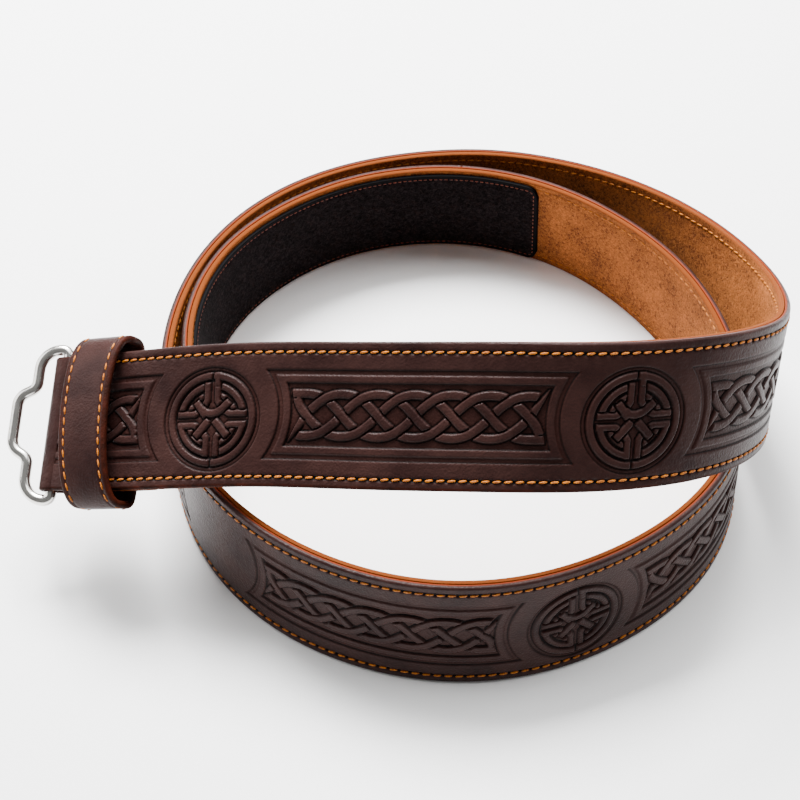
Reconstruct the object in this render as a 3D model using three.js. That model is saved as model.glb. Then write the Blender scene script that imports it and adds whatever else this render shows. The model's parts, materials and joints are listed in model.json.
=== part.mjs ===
// Kilt belt in leather, unfastened and coiled on its lower edge, with a stepped metal ring at one end
// and a hook-and-loop patch inside the other. Millimetres, +Z up, the belt stands on z = 0.
import * as THREE from 'three';

// Strap: a grained leather face and a suede lining, with a glue line between them
const strapWidth = 57;
const leatherWall = 2.4;
const liningWall = 2.2;
const fitGap = 0.3;
const edgeChamfer = 0.5;
const tipRadius = 9;
const sampleStep = 10;

// Coil: the route below is drawn to this radius
const coilRadius = 130;

// Ring end: the leather wraps the ring's bar and comes back under the lining
const ringWire = 4.8;
const ringReach = 19.5;
const ringShoulder = 12;
const ringHeight = 64.6;
const ringNose = 21.8;
const ringStep = 4.2;
const ringTilt = 21;
const ringBarBend = 2.8;
const ringShoulderBend = 9;
const ringStepBend = 4.4;
const ringNoseBend = 6.6;
const ringSides = 8;
const ringBendSteps = 4;
const flapLength = 44;
const flapGap = 0.8;
const flapSteps = 9;
const foldSteps = 8;
const liningSetback = 8;

// Keeper: a leather loop round the doubled end, wide enough for the tail to pass
const keeperWidth = 23.2;
const keeperWall = 3;
const keeperStart = 10;
const keeperSideRoom = 4.2;
const keeperGap = 1.2;
const keeperRoundness = 2.2;
const keeperFlatness = 8;
const keeperChamfer = 0.75;
const keeperSteps = 44;
const keeperSlip = 3;

// Hook-and-loop patch inside the tail
const patchLength = 266;
const patchWall = 1.8;
const patchMargin = 2.8;
const patchRadius = 6;
const patchTipMargin = 6;

const strapWall = leatherWall + fitGap + liningWall;
const deg = Math.PI / 180;

// The route is measured on this many fine steps, and its direction is taken over twice this reach,
// a share of the way from one row to the next
const routeSteps = 1500;
const routeReach = 0.02;

// The route of the strap from the ring end to the tail. x and y are shares of coilRadius, lift is the
// height of the lower edge as a share of strapWidth, lean is how far the strap's top tips inward, in degrees.
const route = [
  { x: -1.56, y: -0.28, lift: 0.53, lean: 63 }, // ring end, hanging past the coil's left side
  { x: -1.24, y: -0.39, lift: 0.76, lean: 59 },
  { x: -0.93, y: -0.47, lift: 1.00, lean: 54 },
  { x: -0.61, y: -0.52, lift: 1.17, lean: 50 }, // rests on the coil's upper edge
  { x: -0.27, y: -0.59, lift: 1.30, lean: 47 },
  { x: 0.08, y: -0.65, lift: 1.44, lean: 45 },
  { x: 0.44, y: -0.67, lift: 1.43, lean: 38 },
  { x: 0.79, y: -0.57, lift: 1.24, lean: 29 },
  { x: 1.05, y: -0.33, lift: 0.83, lean: 9 }, // turns down behind the right-hand crossing
  { x: 1.10, y: -0.01, lift: 0.47, lean: -10 },
  { x: 1.05, y: 0.34, lift: 0.23, lean: -13 },
  { x: 0.90, y: 0.66, lift: 0.09, lean: -9 },
  { x: 0.64, y: 0.92, lift: 0.01, lean: -3 },
  { x: 0.29, y: 1.07, lift: 0, lean: 3 }, // outer turn, on the floor from here on
  { x: -0.07, y: 1.08, lift: 0, lean: 6 },
  { x: -0.44, y: 0.98, lift: 0, lean: 7 },
  { x: -0.73, y: 0.76, lift: 0, lean: 6 },
  { x: -0.91, y: 0.45, lift: 0, lean: 4 },
  { x: -0.97, y: 0.09, lift: 0, lean: 0 },
  { x: -0.94, y: -0.27, lift: 0, lean: 0 },
  { x: -0.80, y: -0.60, lift: 0, lean: 4 },
  { x: -0.54, y: -0.86, lift: 0, lean: 7 },
  { x: -0.20, y: -1.01, lift: 0, lean: 7 },
  { x: 0.16, y: -1.03, lift: 0, lean: 8 },
  { x: 0.51, y: -0.91, lift: 0, lean: 8 },
  { x: 0.81, y: -0.69, lift: 0, lean: 7 },
  { x: 0.99, y: -0.37, lift: 0, lean: 5 },
  { x: 1.00, y: 0.01, lift: 0, lean: 3 },
  { x: 0.90, y: 0.37, lift: 0, lean: 1 }, // inner turn
  { x: 0.70, y: 0.67, lift: 0, lean: 5 },
  { x: 0.43, y: 0.90, lift: 0, lean: 8 },
  { x: 0.09, y: 1.01, lift: 0, lean: 9 },
  { x: -0.28, y: 0.97, lift: 0, lean: 9 },
  { x: -0.59, y: 0.80, lift: 0, lean: 8 },
  { x: -0.83, y: 0.52, lift: 0, lean: 4 },
  { x: -0.92, y: 0.18, lift: 0, lean: 2 },
  { x: -0.88, y: -0.17, lift: 0, lean: 1 },
  { x: -0.72, y: -0.49, lift: 0, lean: 2 }, // tail
];

const leather = new THREE.MeshStandardMaterial({ color: 0x33211e, roughness: 0.55, metalness: 0 });
const keeperLeather = new THREE.MeshStandardMaterial({ color: 0x3c231d, roughness: 0.5, metalness: 0 });
const suede = new THREE.MeshStandardMaterial({ color: 0xa35f30, roughness: 0.95, metalness: 0 });
const hookAndLoop = new THREE.MeshStandardMaterial({ color: 0x17120f, roughness: 0.9, metalness: 0 });
const steel = new THREE.MeshStandardMaterial({ color: 0xc4c6c8, roughness: 0.25, metalness: 1 });

const routeEnd = route.length - 3;

// Even cubic B-spline over one column of the route
function routeValue(column, place) {
  const first = Math.min(Math.floor(place), route.length - 4);
  const q = place - first;
  const weights = [
    (1 - q) ** 3 / 6,
    (3 * q ** 3 - 6 * q ** 2 + 4) / 6,
    (-3 * q ** 3 + 3 * q ** 2 + 3 * q + 1) / 6,
    q ** 3 / 6,
  ];
  return weights.reduce((sum, weight, i) => sum + weight * route[first + i][column], 0);
}

function routePoint(place) {
  const lean = routeValue('lean', place) * deg;
  const height = (strapWidth / 2) * Math.cos(lean) + (strapWall / 2) * Math.abs(Math.sin(lean));
  return new THREE.Vector3(
    routeValue('x', place) * coilRadius,
    routeValue('y', place) * coilRadius,
    routeValue('lift', place) * strapWidth + height,
  );
}

// Lengths along the route, measured on fine steps, so that a frame can be taken at any distance
const finePlaces = Array.from({ length: routeSteps + 1 }, (_, i) => (i / routeSteps) * routeEnd);
const fineLengths = [0];
for (let i = 1; i < finePlaces.length; i += 1) {
  const step = routePoint(finePlaces[i]).distanceTo(routePoint(finePlaces[i - 1]));
  fineLengths.push(fineLengths[i - 1] + step);
}
const strapLength = fineLengths.at(-1);

function placeAt(distance) {
  if (distance >= strapLength) return routeEnd;
  const after = fineLengths.findIndex((length) => length > distance);
  const share = (distance - fineLengths[after - 1]) / (fineLengths[after] - fineLengths[after - 1]);
  return THREE.MathUtils.lerp(finePlaces[after - 1], finePlaces[after], share);
}

// The strap's frame at a distance from the ring end: along runs to the tail, across runs from the
// lower edge to the upper one, and out leaves the grained face.
function strapFrame(distance) {
  const place = placeAt(Math.max(distance, 0));
  const low = Math.max(place - routeReach, 0);
  const high = Math.min(place + routeReach, routeEnd);
  const along = routePoint(high).sub(routePoint(low)).normalize();
  const lean = routeValue('lean', place) * deg;
  const up = new THREE.Vector3(0, 0, 1).addScaledVector(along, -along.z).normalize();
  const side = along.clone().cross(up);
  const across = up.clone().multiplyScalar(Math.cos(lean)).addScaledVector(side, -Math.sin(lean));
  const out = side.multiplyScalar(Math.cos(lean)).addScaledVector(up, Math.sin(lean));
  return { origin: routePoint(place), along, across, out };
}

function moved(frame, alongBy, outBy) {
  const origin = frame.origin.clone().addScaledVector(frame.along, alongBy).addScaledVector(frame.out, outBy);
  return { ...frame, origin };
}

// A rectangle of thickness by height with chamfered corners, as [out, across] pairs round its middle
function barSection(thickness, height, chamfer) {
  const t = thickness / 2;
  const h = height / 2;
  const c = chamfer;
  return [[-t, c - h], [c - t, -h], [t - c, -h], [t, c - h], [t, h - c], [t - c, h], [c - t, h], [-t, h - c]];
}

function roundSection(radius, sides) {
  return Array.from({ length: sides }, (_, i) => {
    const angle = ((i + 0.5) / sides) * 2 * Math.PI;
    return [radius * Math.cos(angle), radius * Math.sin(angle)];
  });
}

// Joins one loop of points per frame into a closed skin that faces out
function sweep(frames, sections, closed) {
  const count = sections[0].length;
  const positions = [];
  frames.forEach((frame, k) => {
    for (const [outBy, acrossBy] of sections[k]) {
      const point = frame.origin.clone();
      point.addScaledVector(frame.out, outBy).addScaledVector(frame.across, acrossBy);
      positions.push(point.x, point.y, point.z);
    }
  });
  const triangles = [];
  const rings = frames.length;
  for (let k = 0; k < (closed ? rings : rings - 1); k += 1) {
    for (let i = 0; i < count; i += 1) {
      const a = k * count + i;
      const b = k * count + ((i + 1) % count);
      const c = ((k + 1) % rings) * count + i;
      const d = ((k + 1) % rings) * count + ((i + 1) % count);
      // Both faces of a layer are split along the same diagonal, so that twisted layers stay apart
      const split = i < count / 2 ? [[a, b, c], [b, d, c]] : [[a, b, d], [a, d, c]];
      triangles.push(...split);
    }
  }
  if (!closed) {
    const end = (rings - 1) * count;
    for (let i = 1; i < count - 1; i += 1) {
      triangles.push([0, i + 1, i], [end, end + i, end + i + 1]);
    }
  }
  const corner = (index) => new THREE.Vector3().fromArray(positions, index * 3);
  const volume = triangles.reduce((sum, [a, b, c]) => sum + corner(a).dot(corner(b).cross(corner(c))), 0);
  const facingOut = volume > 0 ? triangles : triangles.map(([a, b, c]) => [a, c, b]);
  const geometry = new THREE.BufferGeometry();
  geometry.setAttribute('position', new THREE.Float32BufferAttribute(positions, 3));
  geometry.setIndex(facingOut.flat());
  geometry.computeVertexNormals();
  return geometry;
}

// Distances from start to end in even steps, with closer ones over a rounded corner at either end
function stations(start, end, startRadius, endRadius) {
  const cornerShares = [0, 0.05, 0.2, 0.45, 0.75, 1];
  const first = startRadius ? cornerShares.map((share) => start + share * startRadius) : [start];
  const last = endRadius ? cornerShares.map((share) => end - share * endRadius).reverse() : [end];
  const from = first.at(-1);
  const steps = Math.max(Math.round((last[0] - from) / sampleStep), 1);
  const middle = Array.from({ length: steps - 1 }, (_, i) => from + ((i + 1) / steps) * (last[0] - from));
  return [...first, ...middle, ...last];
}

// How much a rounded corner takes off each edge at a distance from the end
function cornerCut(fromEnd, radius) {
  if (fromEnd >= radius) return 0;
  return radius - Math.sqrt(radius ** 2 - (radius - fromEnd) ** 2);
}

function layer(start, end, offset, wall, width, startRadius, endRadius) {
  const places = stations(start, end, startRadius, endRadius);
  const frames = places.map((distance) => moved(strapFrame(distance), 0, offset));
  const sections = places.map((distance) => {
    const cut = cornerCut(distance - start, startRadius) + cornerCut(end - distance, endRadius);
    return barSection(wall, width - 2 * cut, edgeChamfer);
  });
  return { frames, sections };
}

const leatherOffset = (strapWall - leatherWall) / 2;
const liningOffset = (liningWall - strapWall) / 2;
const bendRadius = ringWire / 2 + fitGap + leatherWall / 2;
const barOffset = leatherOffset - bendRadius;
const barSetback = bendRadius;
const flapOffset = -strapWall / 2 - flapGap - leatherWall / 2;

// The leather's way from the end of the flap, round the bar and back to the strap's start
function foldFrames() {
  const frames = [];
  for (let i = flapSteps; i >= 0; i -= 1) {
    const distance = (i / flapSteps) * flapLength;
    const ease = THREE.MathUtils.smoothstep(distance, -barSetback, liningSetback);
    const offset = THREE.MathUtils.lerp(barOffset - bendRadius, flapOffset, ease);
    const frame = moved(strapFrame(distance), 0, offset);
    frames.push({ ...frame, out: frame.out.clone().negate() });
  }
  const bar = moved(strapFrame(0), -barSetback, barOffset);
  for (let i = 0; i <= foldSteps; i += 1) {
    const angle = (-0.5 - i / foldSteps) * Math.PI;
    const out = bar.along.clone().multiplyScalar(Math.cos(angle)).addScaledVector(bar.out, Math.sin(angle));
    frames.push({ origin: bar.origin.clone().addScaledVector(out, bendRadius), across: bar.across, out });
  }
  return frames;
}

function strapLeather() {
  const fold = foldFrames();
  const main = layer(0, strapLength, leatherOffset, leatherWall, strapWidth, 0, tipRadius);
  const foldSection = barSection(leatherWall, strapWidth, edgeChamfer);
  const frames = [...fold, ...main.frames];
  const sections = [...fold.map(() => foldSection), ...main.sections];
  return new THREE.Mesh(sweep(frames, sections, false), leather);
}

function strapLining() {
  const { frames, sections } = layer(
    liningSetback, strapLength, liningOffset, liningWall, strapWidth, 0, tipRadius,
  );
  return new THREE.Mesh(sweep(frames, sections, false), suede);
}

function hookLoopPatch() {
  const end = strapLength - patchTipMargin;
  const offset = -strapWall / 2 - fitGap - patchWall / 2;
  const { frames, sections } = layer(
    end - patchLength, end, offset, patchWall, strapWidth - 2 * patchMargin, patchRadius, patchRadius,
  );
  return new THREE.Mesh(sweep(frames, sections, false), hookAndLoop);
}

// Turns a piece drawn with x along, y across and z out onto a frame of the strap
function setOn(mesh, frame) {
  const basis = new THREE.Matrix4().makeBasis(frame.along, frame.across, frame.out);
  mesh.quaternion.setFromRotationMatrix(basis);
  mesh.position.copy(frame.origin);
  return mesh;
}

// A loop that lies flat under the flap and bulges over the grained face by the tail's thickness, where
// it has slipped towards the ring
function keeperLoop() {
  const halfHeight = strapWidth / 2 + keeperSideRoom;
  const under = -flapOffset + leatherWall / 2 + keeperGap;
  const over = strapWall / 2 + strapWall + keeperGap;
  const point = (i) => {
    const angle = (i / keeperSteps) * 2 * Math.PI;
    const power = 2 / (Math.sin(angle) > 0 ? keeperRoundness : keeperFlatness);
    const rise = Math.sin(angle) > 0 ? over : under;
    const across = Math.sign(Math.cos(angle)) * Math.abs(Math.cos(angle)) ** power;
    const outward = Math.sign(Math.sin(angle)) * Math.abs(Math.sin(angle)) ** power;
    return new THREE.Vector3(0, halfHeight * across, rise * outward);
  };
  const frames = Array.from({ length: keeperSteps }, (_, i) => {
    const run = point(i + 0.5).sub(point(i - 0.5)).normalize();
    const out = new THREE.Vector3(0, run.z, -run.y);
    const origin = point(i).addScaledVector(out, keeperWall / 2);
    origin.x = -keeperSlip * Math.max(origin.z / over, 0);
    return { origin, across: new THREE.Vector3(1, 0, 0), out };
  });
  const section = barSection(keeperWall, keeperWidth, keeperChamfer);
  const mesh = new THREE.Mesh(sweep(frames, frames.map(() => section), true), keeperLeather);
  return setOn(mesh, strapFrame(keeperStart + keeperWidth / 2));
}

// Points round a closed outline whose corners are rounded, with the way ahead at each point
function roundedOutline(corners, stepsPerCorner) {
  const points = [];
  corners.forEach(({ x, y, radius }, i) => {
    const corner = new THREE.Vector2(x, y);
    const before = corners[(i + corners.length - 1) % corners.length];
    const after = corners[(i + 1) % corners.length];
    const back = new THREE.Vector2(before.x - x, before.y - y).normalize();
    const ahead = new THREE.Vector2(after.x - x, after.y - y).normalize();
    const half = Math.acos(THREE.MathUtils.clamp(back.dot(ahead), -1, 1)) / 2;
    const centre = back.clone().add(ahead).normalize().multiplyScalar(radius / Math.sin(half)).add(corner);
    const from = corner.clone().addScaledVector(back, radius / Math.tan(half)).sub(centre);
    const to = corner.clone().addScaledVector(ahead, radius / Math.tan(half)).sub(centre);
    const turn = Math.atan2(from.cross(to), from.dot(to));
    for (let k = 0; k <= stepsPerCorner; k += 1) {
      const arm = from.clone().rotateAround(new THREE.Vector2(), (turn * k) / stepsPerCorner);
      const run = new THREE.Vector2(-arm.y, arm.x).multiplyScalar(Math.sign(turn)).normalize();
      points.push({ place: arm.add(centre), run });
    }
  });
  return points;
}

// The ring's wire, drawn round its straight bar: two shoulders, then a nose. It stands turned a little
// out of the strap's plane, towards the grained face.
function endRing() {
  const top = ringHeight / 2;
  const upper = [
    { x: 0, y: top, radius: ringBarBend },
    { x: -ringShoulder, y: top, radius: ringShoulderBend },
    { x: -ringShoulder, y: ringNose / 2 + ringStep, radius: ringStepBend },
    { x: -ringReach, y: ringNose / 2, radius: ringNoseBend },
  ];
  const lower = upper.map(({ x, y, radius }) => ({ x, y: -y, radius })).reverse();
  const frames = roundedOutline([...upper, ...lower], ringBendSteps).map(({ place, run }) => ({
    origin: new THREE.Vector3(place.x, place.y, 0),
    across: new THREE.Vector3(0, 0, 1),
    out: new THREE.Vector3(run.y, -run.x, 0),
  }));
  const section = roundSection(ringWire / 2, ringSides);
  const mesh = new THREE.Mesh(sweep(frames, frames.map(() => section), true), steel);
  setOn(mesh, moved(strapFrame(0), -barSetback, barOffset));
  return mesh.rotateY(ringTilt * deg);
}

const pieces = {
  strap_leather: strapLeather(),
  strap_lining: strapLining(),
  hook_loop_patch: hookLoopPatch(),
  keeper_loop: keeperLoop(),
  end_ring: endRing(),
};

const belt = new THREE.Group();
for (const [name, mesh] of Object.entries(pieces)) {
  mesh.name = name;
  belt.add(mesh);
}

// The origin is the middle of the belt's outline on the floor
const box = new THREE.Box3().setFromObject(belt, true);
const middle = box.getCenter(new THREE.Vector3());
belt.position.set(-middle.x, -middle.y, -box.min.z);

export default belt;
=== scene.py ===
import json
import math

import bmesh
import bpy
import numpy as np
from mathutils import Matrix, Vector


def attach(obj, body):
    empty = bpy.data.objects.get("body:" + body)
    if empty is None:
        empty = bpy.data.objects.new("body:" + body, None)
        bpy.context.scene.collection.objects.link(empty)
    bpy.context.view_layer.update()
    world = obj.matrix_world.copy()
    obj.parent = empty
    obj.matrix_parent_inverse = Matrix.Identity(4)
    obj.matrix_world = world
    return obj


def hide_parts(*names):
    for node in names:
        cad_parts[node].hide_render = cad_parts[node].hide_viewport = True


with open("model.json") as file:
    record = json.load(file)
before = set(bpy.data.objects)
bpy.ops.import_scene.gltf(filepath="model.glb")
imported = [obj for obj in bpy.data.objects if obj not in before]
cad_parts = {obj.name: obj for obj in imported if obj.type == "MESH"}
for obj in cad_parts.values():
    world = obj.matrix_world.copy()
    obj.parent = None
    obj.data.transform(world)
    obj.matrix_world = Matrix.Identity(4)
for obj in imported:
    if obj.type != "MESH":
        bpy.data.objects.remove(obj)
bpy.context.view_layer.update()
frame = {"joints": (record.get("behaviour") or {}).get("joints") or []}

# Camera
# The view is the photograph's: square, from the front and about 48 degrees down on to the coil,
# with the lens centred and nothing shifted.

CAMERA_PLACE = (-0.00110, -0.42290, 0.48832)
CAMERA_TURN = 41.8254
LENS_MM = 60.87

camera = bpy.data.objects.new("camera", bpy.data.cameras.new("camera"))
camera.data.sensor_width = 36.0
camera.data.lens = LENS_MM
camera.location = CAMERA_PLACE
camera.rotation_euler = (math.radians(CAMERA_TURN), 0.0, 0.0)
bpy.context.scene.collection.objects.link(camera)
bpy.context.scene.camera = camera


# Floor and studio light
# A plain white sweep under the belt. A soft box at the back and a broad one above it light the
# tooling's upper edges as in the photograph, with a weak box at each side and a faint even surround.

FLOOR_SIZE = 6.0


def linear(code):
    """A colour written as sRGB hex, as linear red, green and blue with full alpha."""
    parts = [int(code[i:i + 2], 16) / 255 for i in (1, 3, 5)]
    return tuple(p / 12.92 if p <= 0.04045 else ((p + 0.055) / 1.055) ** 2.4 for p in parts) + (1.0,)


def add(tree, kind, inputs=None, **settings):
    """Adds a node with its settings, and sets or links its inputs."""
    node = tree.nodes.new(kind)
    for key, value in settings.items():
        setattr(node, key, value)
    for key, value in (inputs or {}).items():
        if isinstance(value, bpy.types.NodeSocket):
            tree.links.new(value, node.inputs[key])
        else:
            node.inputs[key].default_value = value
    return node


def new_material(name):
    """A named material and its node tree, emptied."""
    material = bpy.data.materials.new(name)
    material.use_nodes = True
    material.node_tree.nodes.clear()
    return material, material.node_tree


floor_bm = bmesh.new()
bmesh.ops.create_grid(floor_bm, x_segments=1, y_segments=1, size=FLOOR_SIZE / 2)
floor_mesh = bpy.data.meshes.new("floor")
floor_bm.to_mesh(floor_mesh)
floor_bm.free()
floor = bpy.data.objects.new("floor", floor_mesh)
bpy.context.scene.collection.objects.link(floor)
paper, tree = new_material("white paper sweep")
surface = add(tree, "ShaderNodeBsdfPrincipled", {"Base Color": linear("#fbfbfb"), "Roughness": 0.9})
add(tree, "ShaderNodeOutputMaterial", {"Surface": surface.outputs[0]})
floor_mesh.materials.append(paper)

for name, place, size, watts in (
    ("back soft box", (-0.25, 0.75, 1.25), 0.65, 110.0),
    ("left soft box", (-1.20, 0.25, 0.80), 0.8, 11.0),
    ("right soft box", (1.20, 0.25, 0.85), 0.8, 11.0),
    ("high soft box", (0.15, 0.95, 2.00), 2.0, 80.0),
):
    light = bpy.data.objects.new(name, bpy.data.lights.new(name, "AREA"))
    light.data.size = size
    light.data.energy = watts
    light.location = place
    light.rotation_euler = (Vector((0.0, 0.0, 0.05)) - Vector(place)).to_track_quat("-Z", "Y").to_euler()
    bpy.context.scene.collection.objects.link(light)

world = bpy.data.worlds.new("pale surround")
bpy.context.scene.world = world
world.use_nodes = True
world.node_tree.nodes.clear()
sky = add(world.node_tree, "ShaderNodeBackground", {"Color": linear("#ffffff"), "Strength": 0.26})
add(world.node_tree, "ShaderNodeOutputWorld", {"Surface": sky.outputs[0]})


# Strap face
# The belt's outside is one long strip of dyed full-grain cowhide. Wetted, it is pressed between
# plates with knotwork panels and round medallions, then its edges are rounded, stained and burnished.
# At the ring end it is skived, wrapped round the ring's bar and stitched down under the lining.

STRAP_WIDTH = 57.0
LEATHER_WALL = 2.4
LINING_WALL = 2.2
FIT_GAP = 0.3
STRAP_WALL = LEATHER_WALL + FIT_GAP + LINING_WALL
TIP_RADIUS = 9.0
COIL_RADIUS = 130.0
RING_WIRE = 4.8
FLAP_LENGTH = 44.0
FLAP_GAP = 0.8
LINING_SETBACK = 8.0
# How the strap lies: x and y as shares of the coil's radius, the lower edge's height as a share of
# the strap's width, and how far the top tips inward, in degrees
ROUTE = np.array([
    (-1.56, -0.28, 0.53, 63), (-1.24, -0.39, 0.76, 59), (-0.93, -0.47, 1.00, 54),
    (-0.61, -0.52, 1.17, 50), (-0.27, -0.59, 1.30, 47), (0.08, -0.65, 1.44, 45),
    (0.44, -0.67, 1.43, 38), (0.79, -0.57, 1.24, 29), (1.05, -0.33, 0.83, 9),
    (1.10, -0.01, 0.47, -10), (1.05, 0.34, 0.23, -13), (0.90, 0.66, 0.09, -9),
    (0.64, 0.92, 0.01, -3), (0.29, 1.07, 0, 3), (-0.07, 1.08, 0, 6),
    (-0.44, 0.98, 0, 7), (-0.73, 0.76, 0, 6), (-0.91, 0.45, 0, 4),
    (-0.97, 0.09, 0, 0), (-0.94, -0.27, 0, 0), (-0.80, -0.60, 0, 4),
    (-0.54, -0.86, 0, 7), (-0.20, -1.01, 0, 7), (0.16, -1.03, 0, 8),
    (0.51, -0.91, 0, 8), (0.81, -0.69, 0, 7), (0.99, -0.37, 0, 5),
    (1.00, 0.01, 0, 3), (0.90, 0.37, 0, 1), (0.70, 0.67, 0, 5),
    (0.43, 0.90, 0, 8), (0.09, 1.01, 0, 9), (-0.28, 0.97, 0, 9),
    (-0.59, 0.80, 0, 8), (-0.83, 0.52, 0, 4), (-0.92, 0.18, 0, 2),
    (-0.88, -0.17, 0, 1), (-0.72, -0.49, 0, 2),
])
# Medallions follow each other with a panel between every two. The fifth of them is left out, where
# the photograph shows bare leather
REPEAT = 163.25
SECOND_MEDALLION = 238.2
CENTRES = [SECOND_MEDALLION - 166.3] + [SECOND_MEDALLION + REPEAT * k for k in range(9)]
PANELS = list(zip([CENTRES[0] - REPEAT] + CENTRES[:-1], CENTRES))
MEDALLIONS = CENTRES[:5] + CENTRES[6:]
# The medallions sit a little below the middle, and along the front the plates were set a little aslant
MEDALLION_DROP = 1.6
PLATE_SLANT = 0.06
SLANT_END = 330.0
STITCH_PITCH = 4.3
STITCH_LINE = 24.4
STITCH_START = 21.0
# Stretches of the face, each a mesh of its own, with the spacing of its rows: closest where the
# photograph looks straight at the tooling
STRETCHES = (
    (0.0, 165.0, 0.40), (165.0, 330.0, 0.40), (330.0, 605.0, 1.0), (605.0, 880.0, 1.0),
    (880.0, 1030.0, 0.45), (1030.0, 1180.0, 0.45), (1180.0, 1400.0, 1.5), (1400.0, None, 1.5),
)
FACE_COLUMNS = 142
# How far the leather's corners are rounded, at its face and at its back
FACE_ROUND = 1.1
BACK_ROUND = 0.4


def route_values(places):
    """The route's x, y, height and tip at places along it, as a uniform cubic B-spline over its rows."""
    first = np.minimum(places.astype(int), len(ROUTE) - 4)
    q = places - first
    weights = ((1 - q) ** 3 / 6, (3 * q ** 3 - 6 * q ** 2 + 4) / 6,
               (-3 * q ** 3 + 3 * q ** 2 + 3 * q + 1) / 6, q ** 3 / 6)
    return sum(w[:, None] * ROUTE[first + i] for i, w in enumerate(weights))


def route_points(places):
    """The strap's middle at places along the route, in mm, and how far it tips there."""
    x, y, lift, lean = route_values(places).T
    lean = np.radians(lean)
    height = STRAP_WIDTH / 2 * np.cos(lean) + STRAP_WALL / 2 * np.abs(np.sin(lean))
    return np.stack([x * COIL_RADIUS, y * COIL_RADIUS, lift * STRAP_WIDTH + height], 1), lean


def unit(vectors):
    """The vectors at length one."""
    return vectors / np.linalg.norm(vectors, axis=-1, keepdims=True)


last_place = len(ROUTE) - 3
fine_places = np.linspace(0, last_place, 1501)
fine_steps = np.linalg.norm(np.diff(route_points(fine_places)[0], axis=0), axis=1)
fine_lengths = np.concatenate([[0], np.cumsum(fine_steps)])
STRAP_LENGTH = fine_lengths[-1]


def strap_frames(distances):
    """Origin, along, across and out of the strap at distances from the ring end, as in the CAD."""
    places = np.interp(distances, fine_lengths, fine_places)
    origin, lean = route_points(places)
    before = np.maximum(places - 0.02, 0)
    after = np.minimum(places + 0.02, last_place)
    along = unit(route_points(after)[0] - route_points(before)[0])
    up = unit(np.array([0.0, 0.0, 1.0]) - along * along[:, 2:])
    side = np.cross(along, up)
    cos = np.cos(lean)[:, None]
    sin = np.sin(lean)[:, None]
    return origin, along, up * cos - side * sin, side * cos + up * sin


# The bar's centre in the strap's own measure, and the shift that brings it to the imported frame's
bend_radius = RING_WIRE / 2 + FIT_GAP + LEATHER_WALL / 2
leather_offset = (STRAP_WALL - LEATHER_WALL) / 2
start = [part[0] for part in strap_frames(np.array([0.0]))]
bar_centre = start[0] - start[1] * bend_radius + start[3] * (leather_offset - bend_radius)
swing = next(j for j in frame["joints"] if j["name"] == "ring_swing")
SHIFT = np.array(swing["pos_m"]) * 1000 - bar_centre


def smooth_step(value):
    """A soft step from nought to one."""
    value = np.clip(value, 0, 1)
    return value * value * (3 - 2 * value)


FAR = 1e9


def line_distance(x, y, points):
    """The distance from each place to a line through the points."""
    nearest = np.full(np.broadcast(x, y).shape, FAR)
    for (ax, ay), (bx, by) in zip(points[:-1], points[1:]):
        length = max((bx - ax) ** 2 + (by - ay) ** 2, 1e-9)
        t = np.clip(((x - ax) * (bx - ax) + (y - ay) * (by - ay)) / length, 0, 1)
        nearest = np.minimum(nearest, np.hypot(x - ax - t * (bx - ax), y - ay - t * (by - ay)))
    return nearest


def cord_distance(x, y, points, half):
    """The distance to a cord's middle line, grown near its two ends so that they are cut off square."""
    nearest = line_distance(x, y, points)
    for (ax, ay), (bx, by) in ((points[0], points[1]), (points[-1], points[-2])):
        length = math.hypot(bx - ax, by - ay)
        inside = ((x - ax) * (bx - ax) + (y - ay) * (by - ay)) / length
        beside = np.abs((x - ax) * (by - ay) - (y - ay) * (bx - ax)) / length
        nearest = np.where((beside < half + 1) & (inside < half), np.maximum(nearest, half - inside), nearest)
    return nearest


SHOULDER = 0.6


def lay(relief, distance, half, gap=0.5, over=None):
    """Lays a cord over the relief, a pair of height and painted shade: flat on top, with round shoulders
    and a narrow groove pressed along its sides, painted dark as shade. over is where it lies on top."""
    shoulder = np.clip((half - distance) / SHOULDER, 0, 1)
    cord = shoulder * (2 - shoulder) * (1 - 0.12 * (distance / half) ** 2)
    groove = smooth_step(1 - np.abs(distance - half - 0.12) / 0.62)
    near = (distance < half + gap) & (True if over is None else over)
    return np.where(near, np.stack([cord - 0.3 * groove, groove]), relief)


PLAIT_STEP = 14.5
PLAIT_REACH = 8.25
PLAIT_HALF = 1.85


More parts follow.
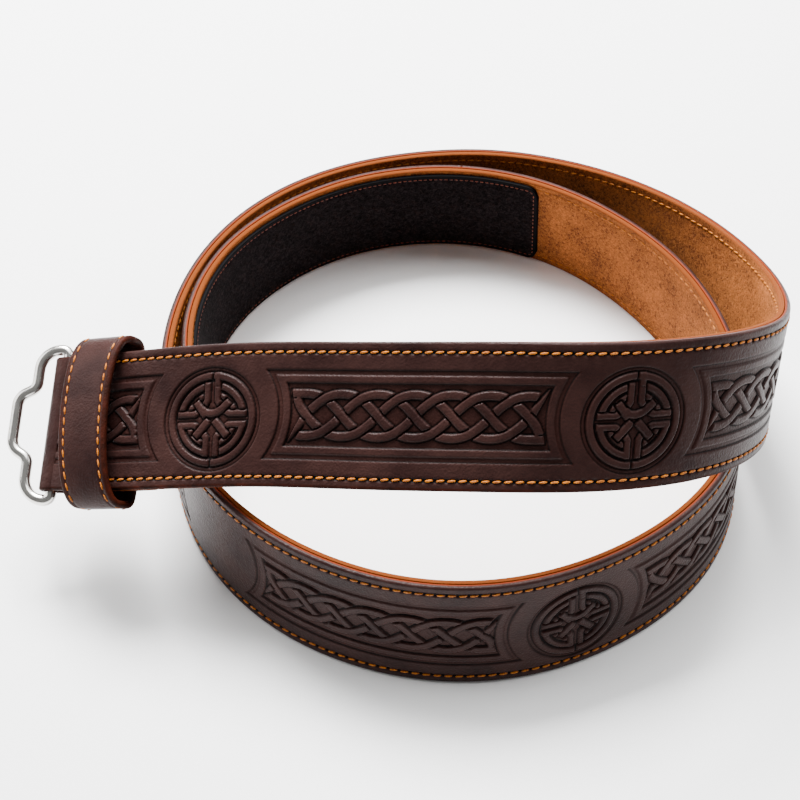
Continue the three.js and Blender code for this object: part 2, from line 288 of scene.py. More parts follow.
def plait(x, y):
    """Four cords plaited along x, with x zero at the panel's middle. Each half is the other turned
    half round. At its end the cords turn back in two mitred corners."""
    turn = np.where(x > 0, -1.0, 1.0)
    x, y = x * turn, y * turn
    end = x + 3 * PLAIT_STEP + 6.5
    near = {True: np.full(y.shape, FAR), False: np.full(y.shape, FAR)}
    for k in range(-4, 0):
        phase = (x - PLAIT_STEP * k) * math.pi / (2 * PLAIT_STEP)
        path = -PLAIT_REACH / 0.96 * (np.sin(phase) + 0.04 * np.sin(3 * phase))
        slope = -PLAIT_REACH / 0.96 * (np.cos(phase) + 0.12 * np.cos(3 * phase)) * math.pi / (2 * PLAIT_STEP)
        # At the plait's end the lowest cord is cut aslant, and the others start where the corner joins
        starts = end > (2.6 + 0.5 * (y + 10.1) if k == -4 else 6.5)
        distance = np.where(starts, np.abs(y - path) / np.hypot(1, slope), FAR)
        for rising in (True, False):
            near[rising] = np.where((slope > 0) == rising, np.minimum(near[rising], distance), near[rising])
    corner = ((6.5, 8.25), (2.2, 8.25), (2.7, 5.8), (3.7, 3.4), (5.0, 1.6), (6.5, 0.0))
    turned = np.maximum(np.abs(y - 8.25), np.abs(end - 2.2 + (y - 8.25) * 0.2))
    cornered = np.where((end < 2.6) & (y > 6.4), turned, line_distance(end, y, corner))
    near[False] = np.minimum(near[False], cornered)
    relief = np.zeros((2,) + y.shape)
    middle = np.abs(y) < 2.9
    relief = lay(relief, near[True], PLAIT_HALF)
    wedge = line_distance(end, y, ((-0.3, -10.6), (2.4, -6.0), (5.4, -1.4)))
    relief = lay(relief, wedge + 1.35 - 0.27 * np.clip(end, 0, 5), 1.75, over=end < 6.0)
    relief = lay(relief, near[False], PLAIT_HALF, over=middle | (near[True] > PLAIT_HALF + 0.5))
    return lay(relief, near[True], PLAIT_HALF, over=~middle)


def step_down(inside, width=0.7):
    """A pressed edge, by distance inside it: the share of its depth, and painted shade along its foot."""
    return np.stack([-smooth_step(inside / width), smooth_step(1 - np.abs(inside - width * 0.7) / 0.6)])


# How deep each step goes, in mm, and how dark the painted shade along its foot is
FRAME_DEPTH = np.array([0.6, 1.0])[:, None, None]
GROUND_DEPTH = np.array([0.85, 1.0])[:, None, None]
CORD_HEIGHT = 0.95


PANEL_END_RADIUS = 28.0
PANEL_HALF = 17.9
BORDER_WIDTH = 5.1


def panel(first, second, s, v):
    """A sunk frame with ends that curve in round the medallions, a raised border and the plait."""
    ends = np.minimum(np.hypot(s - first, v), np.hypot(second - s, v)) - PANEL_END_RADIUS
    inside = np.minimum(ends, PANEL_HALF - np.abs(v))
    relief = step_down(inside) * FRAME_DEPTH + step_down(inside - BORDER_WIDTH) * GROUND_DEPTH
    relief[0] += 0.95 * FRAME_DEPTH[0] * smooth_step((inside - 2.2) / 0.6)
    # Painted shade: a thin dark line at the foot of the step that lifts the frame's inner band
    relief[1] = np.maximum(relief[1], 0.5 * smooth_step(1 - np.abs(inside - 2.1) / 0.5))
    cords = plait(s - (first + second) / 2, np.broadcast_to(v, s.shape)) * (inside > BORDER_WIDTH + 0.8)
    return np.stack([relief[0] + CORD_HEIGHT * cords[0], np.maximum(relief[1], cords[1])])


INNER_CIRCLE = 10.0
OUTER_CIRCLE = 13.5
RIM_CIRCLE = 17.3
SUNK_RADIUS = 21.1
RIDGE_RADIUS = 19.9
BAR_HALF = 1.4


def medallion(x, y):
    """A ring round a cross of doubled bars and a knotted saltire, all pressed into a sunk disc."""
    radius = np.hypot(x, y)
    relief = np.zeros((2,) + radius.shape)
    quarters = (np.abs(x) > 2.1) & (np.abs(y) > 2.1)
    relief = lay(relief, np.abs(radius - INNER_CIRCLE), 1.15, over=quarters)
    relief = lay(relief, np.abs(radius - OUTER_CIRCLE), 1.45, over=quarters & (y > 0))
    # Eight bars in pairs. The lower two of the bars at the sides, and the left one below, turn into
    # the circle's lower quarters. The right one at the top turns into the ring
    joined = (y < 0) & quarters & ((x < 0) | (x > 3.9))
    loose = []
    fixed = [np.where(joined, np.abs(radius - OUTER_CIRCLE), FAR)]
    for side in (-1, 1):
        for end in (-1, 1):
            bend = ((side * 4.6, end * 4.7), (side * 3.1, end * 5.9), (side * 2.2, end * 7.4))
            bar = bend + ((side * 2.15, end * 14.9),)
            (fixed if (side, end) == (-1, -1) else loose).append(cord_distance(x, y, bar, BAR_HALF))
            (fixed if side == -1 else loose).append(cord_distance(y, x, bar, BAR_HALF))
    relief = lay(relief, np.minimum.reduce(fixed), BAR_HALF, 0.4)
    for distance in loose:
        relief = lay(relief, distance, BAR_HALF, 0.4)
    for side in (-1, 1):
        arm = ((side * 1.0, -0.2), (side * 7.1, -7.0))
        relief = lay(relief, cord_distance(x, y, arm, 1.7), 1.7)
    beam = ((-7.1, 7.2), (-2.3, 1.0))
    smile = ((-4.4, 4.4), (-2.9, 3.0), (-1.4, 2.4), (0.3, 2.3), (2.3, 2.8), (4.3, 4.1), (7.5, 7.1))
    crossing = np.minimum(cord_distance(x, y, beam, 1.65), cord_distance(x, y, smile, 1.65))
    relief = lay(relief, crossing, 1.65)
    ring = np.abs(radius - RIM_CIRCLE)
    joint = np.maximum(np.abs(x - 2.15) + 0.15, np.abs(y - 15.8) - 1.5)
    relief = np.where((radius < 15.3) & (joint > 1.6), relief, lay(relief * 0, np.minimum(ring, joint), 1.55))
    # Between the bars at top and bottom, a shallow slit painted dark as shade
    slit = smooth_step((0.55 - np.abs(x)) / 0.3) * smooth_step((radius - 14.6) / 0.6) * (radius < 19.5)
    relief = relief * (1 - slit) + slit * np.array([-0.2, 1.0])[:, None, None]
    sunk = step_down(SUNK_RADIUS - radius)
    ridge = np.exp(-((radius - RIDGE_RADIUS) / 0.35) ** 2)
    height = 0.75 * sunk[0] + CORD_HEIGHT * relief[0] + 0.35 * ridge
    return np.stack([height, np.maximum(sunk[1], relief[1] * (radius < 20)) * (1 - 0.8 * ridge)])


def stitch_row(s, v):
    """The channel that the stitches lie in, with a pit where the needle goes through, both painted dark as
    shade.
    """
    line = np.abs(np.abs(v) - STITCH_LINE)
    phase = ((s - STITCH_START) / STITCH_PITCH + 0.5) % 1 - 0.5
    pit = np.exp(-((phase * STITCH_PITCH) / 0.75) ** 2 - (line / 0.75) ** 2)
    channel = np.exp(-(line / 0.85) ** 2)
    return np.stack([-0.3 * channel - 0.7 * pit, 0.75 * channel + pit])


def tooling(s, v):
    """Height and painted shade of the pressed pattern at distances s and places v over the width, in mm."""
    relief = np.zeros((2, s.size, v.size))
    slanted = s[:, None] - PLATE_SLANT * smooth_step((SLANT_END + 30 - s[:, None]) / 60) * v[None, :]
    for first, second in PANELS:
        rows = (s > first + 18) & (s < second - 18)
        if rows.any():
            relief[:, rows] += panel(first, second, slanted[rows], v[None, :])
    for centre in MEDALLIONS:
        rows = np.abs(s - centre) < 24
        if rows.any():
            relief[:, rows] += medallion(slanted[rows] - centre, v[None, :] + MEDALLION_DROP)
    return relief + stitch_row(s[:, None], v[None, :]) * (s > STITCH_START - 1)[:, None]


def half_width(s):
    """Half the strap's width at a distance, less over the rounded corners of the tail's tip."""
    left = np.clip(TIP_RADIUS - (STRAP_LENGTH - s), 0, TIP_RADIUS)
    return STRAP_WIDTH / 2 - (TIP_RADIUS - np.sqrt(TIP_RADIUS ** 2 - left ** 2))


def edge_outline(half, wall, outer, inner, columns):
    """A layer's outline from the face's lower edge up over the face, round the upper edge, down the
    back and round the lower edge: place over the width, place through the wall, and whether it is on
    the face."""
    t = wall / 2
    face = np.linspace(-(half - outer), half - outer, columns)
    turn = np.linspace(math.pi / 2, 0, 6)[1:]
    under = np.linspace(0, -math.pi / 2, 4)
    up = np.concatenate([half - outer + outer * np.cos(turn), half - inner + inner * np.cos(under)])
    through = np.concatenate([t - outer + outer * np.sin(turn), inner - t + inner * np.sin(under)])
    across = np.concatenate([face, up, -up[::-1], [face[0]]])
    depth = np.concatenate([np.full(columns, t), through, through[::-1], [t]])
    on_face = np.concatenate([np.ones(columns, bool), np.zeros(len(up) * 2, bool), [True]])
    return across, depth, on_face


def skin(name, points, values=None, caps=False):
    """A smooth skin over rows of points, from a grid of as many rows and columns. Rows that end where
    they start are closed, and so are columns; caps fills what stays open. values are named numbers."""
    rows, columns = points.shape[:2]
    bm = bmesh.new()
    bmesh.ops.create_grid(bm, x_segments=rows - 1, y_segments=columns - 1, size=0.5)
    mesh = bpy.data.meshes.new(name)
    bm.to_mesh(mesh)
    bm.free()
    flat = np.zeros(len(mesh.vertices) * 3)
    mesh.vertices.foreach_get("co", flat)
    flat = flat.reshape(-1, 3)
    row = np.rint((flat[:, 0] + 0.5) * (rows - 1)).astype(int)
    column = np.rint((flat[:, 1] + 0.5) * (columns - 1)).astype(int)
    mesh.vertices.foreach_set("co", ((points[row, column] + SHIFT) / 1000).astype(np.float32).ravel())
    for key, value in (values or {}).items():
        layer = mesh.attributes.new(key, "FLOAT", "POINT")
        numbers = np.broadcast_to(value, (rows, columns))[row, column]
        layer.data.foreach_set("value", numbers.astype(np.float32))
    bm = bmesh.new()
    bm.from_mesh(mesh)
    bmesh.ops.remove_doubles(bm, verts=bm.verts, dist=1e-6)
    if caps:
        bmesh.ops.holes_fill(bm, edges=[e for e in bm.edges if e.is_boundary], sides=0)
        bmesh.ops.recalc_face_normals(bm, faces=bm.faces)
    bm.to_mesh(mesh)
    bm.free()
    mesh.polygons.foreach_set("use_smooth", np.ones(len(mesh.polygons), bool))
    piece = bpy.data.objects.new(name, mesh)
    bpy.context.scene.collection.objects.link(piece)
    return piece


# Full-grain cowhide, drum dyed dark brown and waxed: a fine pebbled grain, a soft low shine on what
# stands proud, a reddish brown where the dye is rubbed along the grooves, and painted shade, near black, at
# their feet.
# The edges are stained mahogany and burnished. The upper one is rounded over in the face's own colour,
# with a thin line of the hide's tan along the lining
hide, tree = new_material("dyed full-grain cowhide")
place = add(tree, "ShaderNodeTexCoord").outputs["Object"]
edge = add(tree, "ShaderNodeAttribute", attribute_name="edge").outputs["Fac"]
deep = add(tree, "ShaderNodeAttribute", attribute_name="deep").outputs["Fac"]
# The dye's clouds are about 22 mm across, and the streaks of the burnished edge 4.5 mm long
CLOUDS_PER_METRE = 45.0
STREAKS_PER_METRE = 220.0
cloud = add(tree, "ShaderNodeTexNoise", {
    "Vector": place, "Scale": CLOUDS_PER_METRE, "Detail": 4.0, "Roughness": 0.6,
})
tone = add(tree, "ShaderNodeValToRGB", {"Fac": cloud.outputs["Fac"]})
tone.color_ramp.elements[0].position = 0.3
tone.color_ramp.elements[0].color = linear("#1f1110")
tone.color_ramp.elements[1].position = 0.7
tone.color_ramp.elements[1].color = linear("#33201d")
# deep holds the painted shade of the grooves, step feet and stitch pits. Its weaker part tints the tone
# reddish brown for the rubbed dye
rubbed = add(tree, "ShaderNodeMix", {
    0: deep, 6: tone.outputs["Color"], 7: linear("#2a0c05"),
}, data_type="RGBA")
# Painted shade: where deep is strongest, the colour goes to near black
foot = add(tree, "ShaderNodeMath", {0: deep, 1: 1.7}, operation="POWER").outputs[0]
with_painted_shade = add(tree, "ShaderNodeMix", {0: foot, 6: rubbed.outputs[2], 7: linear("#020101")}, data_type="RGBA")
streak = add(tree, "ShaderNodeTexNoise", {"Vector": place, "Scale": STREAKS_PER_METRE, "Detail": 3.0})
rim = add(tree, "ShaderNodeValToRGB", {"Fac": streak.outputs["Fac"]})
rim.color_ramp.elements[0].position = 0.3
rim.color_ramp.elements[0].color = linear("#150400")
rim.color_ramp.elements[1].position = 0.7
rim.color_ramp.elements[1].color = linear("#320d02")
raw = add(tree, "ShaderNodeAttribute", attribute_name="raw").outputs["Fac"]
border = add(tree, "ShaderNodeMix", {
    0: raw, 6: rim.outputs["Color"], 7: linear("#6c2606"),
}, data_type="RGBA")
colour = add(tree, "ShaderNodeMix", {0: edge, 6: with_painted_shade.outputs[2], 7: border.outputs[2]}, data_type="RGBA")
# The pores are finer on real hide, and are drawn 0.8 mm wide so that they show
GRAIN_MM = 0.8
CREASE_MM = 2.5
grain = add(tree, "ShaderNodeTexVoronoi", {"Vector": place, "Scale": 1000 / GRAIN_MM}, feature="SMOOTH_F1")
crease = add(tree, "ShaderNodeTexNoise", {
    "Vector": place, "Scale": 1000 / CREASE_MM, "Detail": 5.0, "Roughness": 0.65,
})
pebble = add(tree, "ShaderNodeMath", {
    0: grain.outputs["Distance"], 1: crease.outputs["Fac"],
}, operation="ADD")
bump = add(tree, "ShaderNodeBump", {"Height": pebble.outputs[0], "Strength": 0.5, "Distance": 0.0003})
gloss = add(tree, "ShaderNodeMapRange", {"Value": crease.outputs["Fac"], "To Min": 0.30, "To Max": 0.48})
dull = add(tree, "ShaderNodeMath", {0: deep, 1: edge}, operation="MAXIMUM")
rough = add(tree, "ShaderNodeMapRange", {
    "Value": dull.outputs[0], "To Min": gloss.outputs[0], "To Max": 0.6,
})
surface = add(tree, "ShaderNodeBsdfPrincipled", {
    "Base Color": colour.outputs[2], "Roughness": rough.outputs[0], "IOR": 1.45, "Normal": bump.outputs[0],
    "Specular IOR Level": 0.09,
})
add(tree, "ShaderNodeOutputMaterial", {"Surface": surface.outputs[0]})


def steps(first, last, spacing):
    """Even steps from first to last, as near to the spacing as they come."""
    return np.linspace(first, last, max(int(round((last - first) / spacing)), 2) + 1)


def face_stretch(name, distances, caps):
    """The leather face over some distances, with the tooling pressed into it."""
    origin, along, across, out = strap_frames(distances)
    outline = edge_outline(STRAP_WIDTH / 2, LEATHER_WALL, FACE_ROUND, BACK_ROUND, FACE_COLUMNS)
    place_over, through, on_face = outline
    height, dark = tooling(distances, place_over) * on_face
    width = place_over[None, :] * (half_width(distances) / (STRAP_WIDTH / 2))[:, None]
    depth = leather_offset + through[None, :] + height
    points = origin[:, None, :] + across[:, None, :] * width[..., None] + out[:, None, :] * depth[..., None]
    # Under the raised front run the burnished lower edge comes a little way round on to the face
    turned = 0.4 * smooth_step((450 - distances[:, None]) / 100)
    lower_share = 1 - smooth_step((STRAP_WIDTH / 2 - 0.5 - turned + place_over) / 0.8)
    raw_share = smooth_step((-0.1 - through) / 0.4) * (place_over > 0)
    edge_share = np.where(place_over > 0, raw_share, np.where(on_face, lower_share, 1.0))
    # Painted shade, stronger the deeper the relief and along its dark lines; the hide also tints it reddish
    # as rubbed dye
    dye_and_shade_share = np.clip(np.clip(-height, 0, 1) * 0.25 + dark, 0, 1)
    piece = skin(name, points, {"edge": edge_share, "raw": raw_share, "deep": dye_and_shade_share}, caps)
    piece.data.materials.append(hide)
    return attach(piece, "belt")


for number, (first, last, spacing) in enumerate(STRETCHES, 1):
    last = STRAP_LENGTH if last is None else last
    at_tip = last == STRAP_LENGTH
    face_stretch(f"strap_face_{number}", steps(first, last, spacing), at_tip)

# The same strip goes on from the strap's start round the bar and back under the lining
flap_offset = -STRAP_WALL / 2 - FLAP_GAP - LEATHER_WALL / 2
bar_offset = leather_offset - bend_radius
flap = steps(FLAP_LENGTH, 0, -2.0)
origin, along, across, out = strap_frames(flap)
ease = smooth_step((flap + bend_radius) / (LINING_SETBACK + bend_radius))
under = (bar_offset - bend_radius) * (1 - ease) + flap_offset * ease
rows = [(o + n * d, c, -n) for o, n, c, d in zip(origin, out, across, under)]
for turn in np.linspace(-0.5, -1.5, 17) * math.pi:
    away = start[1] * math.cos(turn) + start[3] * math.sin(turn)
    rows.append((bar_centre + away * bend_radius, start[2], away))
rows.append((start[0] + start[3] * leather_offset, start[2], start[3]))
place_over, through, on_face = edge_outline(STRAP_WIDTH / 2, LEATHER_WALL, FACE_ROUND, BACK_ROUND, 40)
points = np.array([o + c * place_over[:, None] + n * through[:, None] for o, c, n in rows])
edge_share = np.where(on_face, 1 - smooth_step((STRAP_WIDTH / 2 - 0.5 - np.abs(place_over)) / 0.8), 1.0)
ring_fold = skin("ring_fold", points, {"edge": edge_share, "deep": 0.0}, True)
ring_fold.data.materials.append(hide)
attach(ring_fold, "belt")
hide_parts("strap_leather")


# Lining
# A strip of tan suede split, glued to the back of the face and sewn along both edges with it. Its
# nap is short and cloudy; its cut edges are stained and burnished with the face's.

# Brushed on the flesh side: short curled fibres, light at their tips and dark between, and no shine
suede, tree = new_material("tan suede split")
place = add(tree, "ShaderNodeTexCoord").outputs["Object"]
edge = add(tree, "ShaderNodeAttribute", attribute_name="edge").outputs["Fac"]
# The fibres are finer too, and are drawn 1.3 mm wide. The brushed clouds are about 17 mm across
NAP_MM = 1.3
NAP_CLOUDS_PER_METRE = 60.0
nap = add(tree, "ShaderNodeTexNoise", {
    "Vector": place, "Scale": 1000 / NAP_MM, "Detail": 6.0, "Roughness": 0.72, "Distortion": 1.2,
})
cloud = add(tree, "ShaderNodeTexNoise", {"Vector": place, "Scale": NAP_CLOUDS_PER_METRE, "Detail": 3.0})
mixed = add(tree, "ShaderNodeMix", {"Factor": 0.2, 2: nap.outputs["Fac"], 3: cloud.outputs["Fac"]})
tone = add(tree, "ShaderNodeValToRGB", {"Fac": mixed.outputs[0]})
tone.color_ramp.elements[0].position = 0.40
tone.color_ramp.elements[0].color = linear("#40200b")
tone.color_ramp.elements[1].position = 0.61
tone.color_ramp.elements[1].color = linear("#9c5a2a")
colour = add(tree, "ShaderNodeMix", {
    0: edge, 6: tone.outputs["Color"], 7: linear("#683210"),
}, data_type="RGBA")
bump = add(tree, "ShaderNodeBump", {"Height": nap.outputs["Fac"], "Strength": 0.8, "Distance": 0.0007})
surface = add(tree, "ShaderNodeBsdfPrincipled", {
    "Base Color": colour.outputs[2], "Roughness": 0.92, "Specular IOR Level": 0.1, "Normal": bump.outputs[0],
    "Sheen Weight": 0.12, "Sheen Roughness": 0.5, "Sheen Tint": linear("#d88a48"),
})
add(tree, "ShaderNodeOutputMaterial", {"Surface": surface.outputs[0]})

distances = steps(LINING_SETBACK, STRAP_LENGTH, 4.0)
origin, along, across, out = strap_frames(distances)
place_over, through, on_face = edge_outline(STRAP_WIDTH / 2, LINING_WALL, 0.9, 0.3, 48)
width = place_over[None, :] * (half_width(distances) / (STRAP_WIDTH / 2))[:, None]
lining_offset = (LINING_WALL - STRAP_WALL) / 2
channel = -0.2 * np.exp(-((np.abs(place_over) - STITCH_LINE) / 1.2) ** 2) * on_face
depth = lining_offset - through - channel
points = origin[:, None, :] + across[:, None, :] * width[..., None] + out[:, None, :] * depth[None, :, None]
edge_share = np.where(on_face, 1 - smooth_step((STRAP_WIDTH / 2 - 0.4 - np.abs(place_over)) / 0.8), 1.0)
lining = skin("suede_lining_strip", points, {"edge": edge_share}, True)
lining.data.materials.append(suede)
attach(lining, "belt")
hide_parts("strap_lining")


# Stitching
# Waxed orange-tan thread, saddle stitched about 5 mm inside both edges through face and lining. Each
# stitch lies a little aslant and dips into its holes at both ends.

THREAD_MM = 1.0
STITCH_LENGTH = 3.5
# The thread's strands lie about 0.7 mm apart
STRANDS_PER_METRE = 1400.0


def thread_material(name, dark, light):
    """Twisted polyester thread, drawn through wax: darker between its strands, with a slight shine."""
    material, tree = new_material(name)
    place = add(tree, "ShaderNodeTexCoord").outputs["Object"]
    twist = add(tree, "ShaderNodeTexNoise", {"Vector": place, "Scale": STRANDS_PER_METRE, "Detail": 2.0})
    tone = add(tree, "ShaderNodeValToRGB", {"Fac": twist.outputs["Fac"]})
    tone.color_ramp.elements[0].position = 0.3
    tone.color_ramp.elements[0].color = linear(dark)
    tone.color_ramp.elements[1].position = 0.7
    tone.color_ramp.elements[1].color = linear(light)
    surface = add(tree, "ShaderNodeBsdfPrincipled", {
        "Base Color": tone.outputs["Color"], "Roughness": 0.55, "IOR": 1.5, "Specular IOR Level": 0.25,
    })
    add(tree, "ShaderNodeOutputMaterial", {"Surface": surface.outputs[0]})
    return material


tan_thread = thread_material("waxed orange-tan polyester thread", "#6e3202", "#ba6c08")


def sew(name, places, body, material=tan_thread, length=STITCH_LENGTH, width=THREAD_MM):
    """A row of stitches, each given by its middle, the way it runs, and the way out of the surface."""
    bm = bmesh.new()
    for middle, run, out in places:
        turn = Matrix((run, np.cross(out, run), out)).transposed().to_4x4()
        size = Matrix.Diagonal((length / 2000, width / 2000, width / 2000, 1))
        spot = Matrix.Translation(Vector((middle + SHIFT) / 1000))
        lie = Matrix.Rotation(math.pi / 2, 4, "Y")
        bmesh.ops.create_uvsphere(bm, u_segments=6, v_segments=4, radius=1.0, matrix=spot @ turn @ size @ lie)
    mesh = bpy.data.meshes.new(name)
    bm.to_mesh(mesh)
    bm.free()
    mesh.polygons.foreach_set("use_smooth", np.ones(len(mesh.polygons), bool))
    piece = bpy.data.objects.new(name, mesh)
    bpy.context.scene.collection.objects.link(piece)
    mesh.materials.append(material)
    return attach(piece, body)


def strap_row(first, last, line, depth, slant, facing):
    """Places for a row of stitches along the strap at one line over its width."""
    count = int((last - first) / STITCH_PITCH)
    distances = first + (np.arange(count) + 0.5) * STITCH_PITCH
    origin, along, across, out = strap_frames(distances)
    run = along * math.cos(slant) + across * math.sin(slant)
    middle = origin + across * line + out * depth
    return list(zip(middle, run, out * facing))


sewn_end = STRAP_LENGTH - 12.0
face_depth = STRAP_WALL / 2 - 0.1
back_depth = -STRAP_WALL / 2 + 0.1
slant = math.radians(7)
# The flap covers the lining nearly up to here, so its rows start later than the face's
lining_start = STITCH_START + 27
for edge_name, line in (("upper", STITCH_LINE), ("lower", -STITCH_LINE)):
    face_row = strap_row(STITCH_START, sewn_end, line, face_depth, slant, 1)
    lining_row = strap_row(lining_start, sewn_end, line, back_depth, -slant, -1)
    sew(f"face_stitches_{edge_name}", face_row, "belt")
    sew(f"lining_stitches_{edge_name}", lining_row, "belt")


# Hook-and-loop patch
# A long black strip of woven nylon loop, sewn on to the lining inside the tail with brown thread
# close to its border. The loops make a dense matt pile; the border is a flat woven selvedge.

PATCH_LENGTH = 266.0
PATCH_WALL = 1.8
# The pile stands 0.8 mm proud of its backing all round, so the margin is narrower than the backing's
PATCH_MARGIN = 2.0
PATCH_RADIUS = 6.0
PATCH_TIP_MARGIN = 6.0
PATCH_STITCH_LINE = 2.3
PATCH_STITCH_PITCH = 2.8
PATCH_THREAD_MM = 0.8
# Woven nylon loop: matt black curls that catch a little light, inside a smooth flat selvedge. Real
# loops are about half as wide, and are drawn coarser so that they show
pile, tree = new_material("black nylon loop pile")
place = add(tree, "ShaderNodeTexCoord").outputs["Object"]
selvedge = add(tree, "ShaderNodeAttribute", attribute_name="selvedge").outputs["Fac"]
LOOP_MM = 1.6
loops = add(tree, "ShaderNodeTexNoise", {
    "Vector": place, "Scale": 1000 / LOOP_MM, "Detail": 5.0, "Roughness": 0.75, "Distortion": 1.0,
})
tone = add(tree, "ShaderNodeValToRGB", {"Fac": loops.outputs["Fac"]})
tone.color_ramp.elements[0].position = 0.44
tone.color_ramp.elements[0].color = linear("#030202")
tone.color_ramp.elements[1].position = 0.62
tone.color_ramp.elements[1].color = linear("#1e1819")
colour = add(tree, "ShaderNodeMix", {
    0: selvedge, 6: tone.outputs["Color"], 7: linear("#030203"),
}, data_type="RGBA")
curl = add(tree, "ShaderNodeMapRange", {"Value": selvedge, "To Min": 1.0, "To Max": 0.05})
bump = add(tree, "ShaderNodeBump", {
    "Height": loops.outputs["Fac"], "Strength": curl.outputs[0], "Distance": 0.0009,
})
matt = add(tree, "ShaderNodeMapRange", {"Value": selvedge, "To Min": 0.95, "To Max": 0.7})
surface = add(tree, "ShaderNodeBsdfPrincipled", {
    "Base Color": colour.outputs[2], "Roughness": matt.outputs[0], "Normal": bump.outputs[0],
    "Specular IOR Level": 0.04,
})
add(tree, "ShaderNodeOutputMaterial", {"Surface": surface.outputs[0]})

patch_end = STRAP_LENGTH - PATCH_TIP_MARGIN
patch_start = patch_end - PATCH_LENGTH
distances = steps(patch_start, patch_end, 1.5)
origin, along, across, out = strap_frames(distances)
patch_half = STRAP_WIDTH / 2 - PATCH_MARGIN
place_over, through, on_face = edge_outline(patch_half, PATCH_WALL, 0.7, 0.1, 60)
from_end = np.minimum(distances - patch_start, patch_end - distances)
left = np.clip(PATCH_RADIUS - from_end, 0, PATCH_RADIUS)
cut = 1 - (PATCH_RADIUS - np.sqrt(PATCH_RADIUS ** 2 - left ** 2)) / patch_half
width = place_over[None, :] * cut[:, None]
rim_line = np.minimum(patch_half - np.abs(place_over)[None, :], from_end[:, None])
sunk = -0.35 * np.exp(-((rim_line - 2.2) / 0.8) ** 2) - 0.25 * smooth_step((2.2 - rim_line) / 1.5)
depth = -STRAP_WALL / 2 - FIT_GAP - PATCH_WALL / 2 - through[None, :] - sunk * on_face
points = origin[:, None, :] + across[:, None, :] * width[..., None] + out[:, None, :] * depth[..., None]
patch = skin("loop_patch", points, {"selvedge": smooth_step((2.0 - rim_line) / 0.5)}, True)
patch.data.materials.append(pile)
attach(patch, "belt")
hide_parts("hook_loop_patch")

# Its stitches run all round, at an even distance inside the border
reach = np.array([PATCH_LENGTH / 2, patch_half]) - PATCH_STITCH_LINE
bend = PATCH_RADIUS - PATCH_STITCH_LINE
turns = np.linspace(0, 2 * math.pi, 41)
ways = np.stack([np.cos(turns), np.sin(turns)], 1)
outline = np.sign(np.round(ways, 6)) * (reach - bend) + ways * bend
outline_run = np.concatenate([[0], np.cumsum(np.linalg.norm(np.diff(outline, axis=0), axis=1))])
spots = np.arange(0, outline_run[-1], PATCH_STITCH_PITCH)
here, ahead = (
    np.stack([np.interp((spots + step) % outline_run[-1], outline_run, outline[:, i]) for i in (0, 1)], 1)
    for step in (0.0, 0.3)
)
origin, along, across, out = strap_frames(patch_start + PATCH_LENGTH / 2 + here[:, 0])
step = ahead - here
run = unit(along * step[:, :1] + across * step[:, 1:])
stitch_depth = -STRAP_WALL / 2 - FIT_GAP - PATCH_WALL + 0.35
middle = origin + across * here[:, 1:] + out * stitch_depth
brown_thread = thread_material("brown polyester thread", "#2e0f04", "#6e2c10")
sew("patch_stitches", list(zip(middle, run, -out)), "belt", brown_thread, 1.9, PATCH_THREAD_MM)


# Keeper
# A loop of the same hide, lined with itself, with thick rounded rims stained mahogany and a row of
# stitches inside each rim. It bulges over the face, so that the tail can pass through it.

KEEPER_WIDTH = 23.2
KEEPER_WALL = 3.0
KEEPER_START = 10.0
KEEPER_SIDE_ROOM = 4.2
KEEPER_GAP = 1.2
KEEPER_SLIP = 3.0
KEEPER_ROUNDNESS = 2.2
KEEPER_FLATNESS = 8
KEEPER_STEPS = 220
keeper_half = STRAP_WIDTH / 2 + KEEPER_SIDE_ROOM
keeper_over = STRAP_WALL * 1.5 + KEEPER_GAP
keeper_under = -flap_offset + LEATHER_WALL / 2 + KEEPER_GAP


def keeper_line(turns):
    """The loop's inside line: place over the strap and height over it, from turns round the loop."""
    angle = turns * 2 * math.pi
    power = 2 / np.where(np.sin(angle) > 0, KEEPER_ROUNDNESS, KEEPER_FLATNESS)
    rise = np.where(np.sin(angle) > 0, keeper_over, keeper_under)
    over = keeper_half * np.sign(np.cos(angle)) * np.abs(np.cos(angle)) ** power
    return over, rise * np.sign(np.sin(angle)) * np.abs(np.sin(angle)) ** power


# Even steps round the loop, from the length of the line
fine_turns = np.linspace(0, 1, 4001)
fine_over, fine_rise = keeper_line(fine_turns)
run_length = np.concatenate([[0], np.cumsum(np.hypot(np.diff(fine_over), np.diff(fine_rise)))])
KEEPER_LOOP = run_length[-1]


def keeper_frames(lengths):
    """How far the loop slips along the strap, its wall's middle and its way out, in the keeper's frame."""
    turns = np.interp(lengths % KEEPER_LOOP, run_length, fine_turns)
    over, rise = keeper_line(turns)
    ahead = np.interp((lengths + 0.8) % KEEPER_LOOP, run_length, fine_turns)
    behind = np.interp((lengths - 0.8) % KEEPER_LOOP, run_length, fine_turns)
    run = unit(np.stack(keeper_line(ahead), 1) - np.stack(keeper_line(behind), 1))
    outward = np.stack([run[:, 1], -run[:, 0]], 1)
    middle = np.stack([over, rise], 1) + outward * KEEPER_WALL / 2
    slip = -KEEPER_SLIP * np.maximum(middle[:, 1] / keeper_over, 0)
    return slip, middle, outward


keeper_at = [part[0] for part in strap_frames(np.array([KEEPER_START + KEEPER_WIDTH / 2]))]


def keeper_points(lengths, sideways, outby):
    """Points on the keeper from lengths round it, places over its width and heights over its middle."""
    slip, middle, outward = keeper_frames(lengths)
    x = slip[:, None] + sideways
    y = middle[:, 0:1] + outward[:, 0:1] * outby
    z = middle[:, 1:2] + outward[:, 1:2] * outby
    origin, along, across, out = keeper_at
    return origin + x[..., None] * along + y[..., None] * across + z[..., None] * out


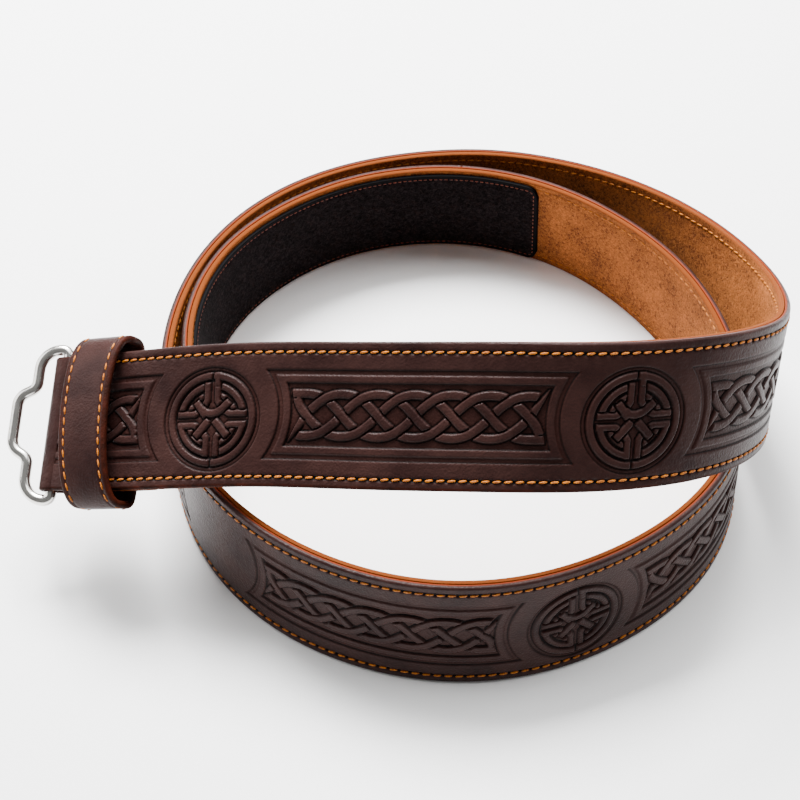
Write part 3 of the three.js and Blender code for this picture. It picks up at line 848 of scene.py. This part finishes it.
lengths = np.linspace(0, KEEPER_LOOP, KEEPER_STEPS + 1)
place_over, through, on_face = edge_outline(KEEPER_WIDTH / 2, KEEPER_WALL, 1.45, 1.4, 44)
row_line = KEEPER_WIDTH / 2 - 3.0
groove = -0.3 * np.exp(-((np.abs(place_over) - row_line) / 0.6) ** 2) * on_face
spread = np.ones((len(lengths), 1))
points = keeper_points(lengths, place_over * spread, (through + groove) * spread)
edge_share = np.where(on_face, 1 - smooth_step((KEEPER_WIDTH / 2 - 1.2 - np.abs(place_over)) / 0.9), 1.0)
lined = ~on_face & (through < -1.3) & (np.abs(place_over) < KEEPER_WIDTH / 2 - 1.2)
edge_share = np.where(lined, 0.0, edge_share)
# deep paints shade into the groove along each stitch row
keeper = skin("keeper_band", points, {"edge": edge_share, "deep": np.clip(-groove * 1.5, 0, 1)})
keeper.data.materials.append(hide)
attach(keeper, "belt")
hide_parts("keeper_loop")

places = []
for side in (-1, 1):
    count = int(KEEPER_LOOP / STITCH_PITCH)
    lengths = (np.arange(count) + 0.5) / count * KEEPER_LOOP
    sideways = np.full((count, 1), side * row_line)
    outby = np.full((count, 1), KEEPER_WALL / 2 - 0.15)
    middle = keeper_points(lengths, sideways, outby)[:, 0]
    ahead = keeper_points(lengths + 0.5, sideways + 0.05, outby)[:, 0]
    above = keeper_points(lengths, sideways, outby + 1.0)[:, 0]
    run = unit(ahead - middle)
    out = above - middle
    out = unit(out - run * (out * run).sum(1, keepdims=True))
    places += list(zip(middle, run, out))
sew("keeper_stitches", places, "belt", width=0.85)


# Ring
# One length of 4.8 mm steel wire, bent into a flat stepped loop, butt welded in the bar under the
# leather, and polished. It swings on its bar, and hangs turned a little towards the face.

RING_REACH = 19.5
RING_SHOULDER = 12.0
RING_HEIGHT = 64.6
RING_NOSE = 21.8
RING_STEP = 4.2
RING_TILT = 21.0
# Stainless steel, drawn and then polished: bright, with blurred streaks of the surround, and fine wear
# about 3 mm long
WEAR_PER_METRE = 300.0
steel, tree = new_material("polished stainless steel wire")
place = add(tree, "ShaderNodeTexCoord").outputs["Object"]
wear = add(tree, "ShaderNodeTexNoise", {"Vector": place, "Scale": WEAR_PER_METRE, "Detail": 4.0})
polish = add(tree, "ShaderNodeMapRange", {"Value": wear.outputs["Fac"], "To Min": 0.16, "To Max": 0.28})
surface = add(tree, "ShaderNodeBsdfPrincipled", {
    "Base Color": linear("#d2cfca"), "Metallic": 1.0, "Roughness": polish.outputs[0],
})
add(tree, "ShaderNodeOutputMaterial", {"Surface": surface.outputs[0]})

top = RING_HEIGHT / 2
upper = [(0, top, 2.8), (-RING_SHOULDER, top, 9.0), (-RING_SHOULDER, RING_NOSE / 2 + RING_STEP, 4.4),
         (-RING_REACH, RING_NOSE / 2, 6.6)]
corners = upper + [(x, -y, r) for x, y, r in reversed(upper)]
middles, runs = [], []
for i, (x, y, radius) in enumerate(corners):
    corner = Vector((x, y))
    back = (Vector(corners[i - 1][:2]) - corner).normalized()
    ahead = (Vector(corners[(i + 1) % len(corners)][:2]) - corner).normalized()
    half = math.acos(max(-1, min(1, back.dot(ahead)))) / 2
    centre = corner + (back + ahead).normalized() * radius / math.sin(half)
    first = corner + back * radius / math.tan(half) - centre
    second = corner + ahead * radius / math.tan(half) - centre
    turn = math.atan2(first.x * second.y - first.y * second.x, first.dot(second))
    for k in range(13):
        angle = turn * k / 12
        arm = Matrix.Rotation(angle, 2) @ first
        middles.append(arm + centre)
        runs.append(Vector((-arm.y, arm.x)).normalized() * math.copysign(1, turn))
middles.append(middles[0])
runs.append(runs[0])
tilt = math.radians(RING_TILT)
ring_along = start[1] * math.cos(tilt) - start[3] * math.sin(tilt)
ring_out = start[1] * math.sin(tilt) + start[3] * math.cos(tilt)
rows = []
for middle, run in zip(middles, runs):
    around = np.linspace(0, 2 * math.pi, 25)
    away = np.cos(around) * RING_WIRE / 2
    x = middle.x + run.y * away
    y = middle.y - run.x * away
    z = np.sin(around) * RING_WIRE / 2
    rows.append(bar_centre + x[:, None] * ring_along + y[:, None] * start[2] + z[:, None] * ring_out)
ring = skin("steel_ring", np.array(rows))
ring.data.materials.append(steel)
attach(ring, "ring")
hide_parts("end_ring")
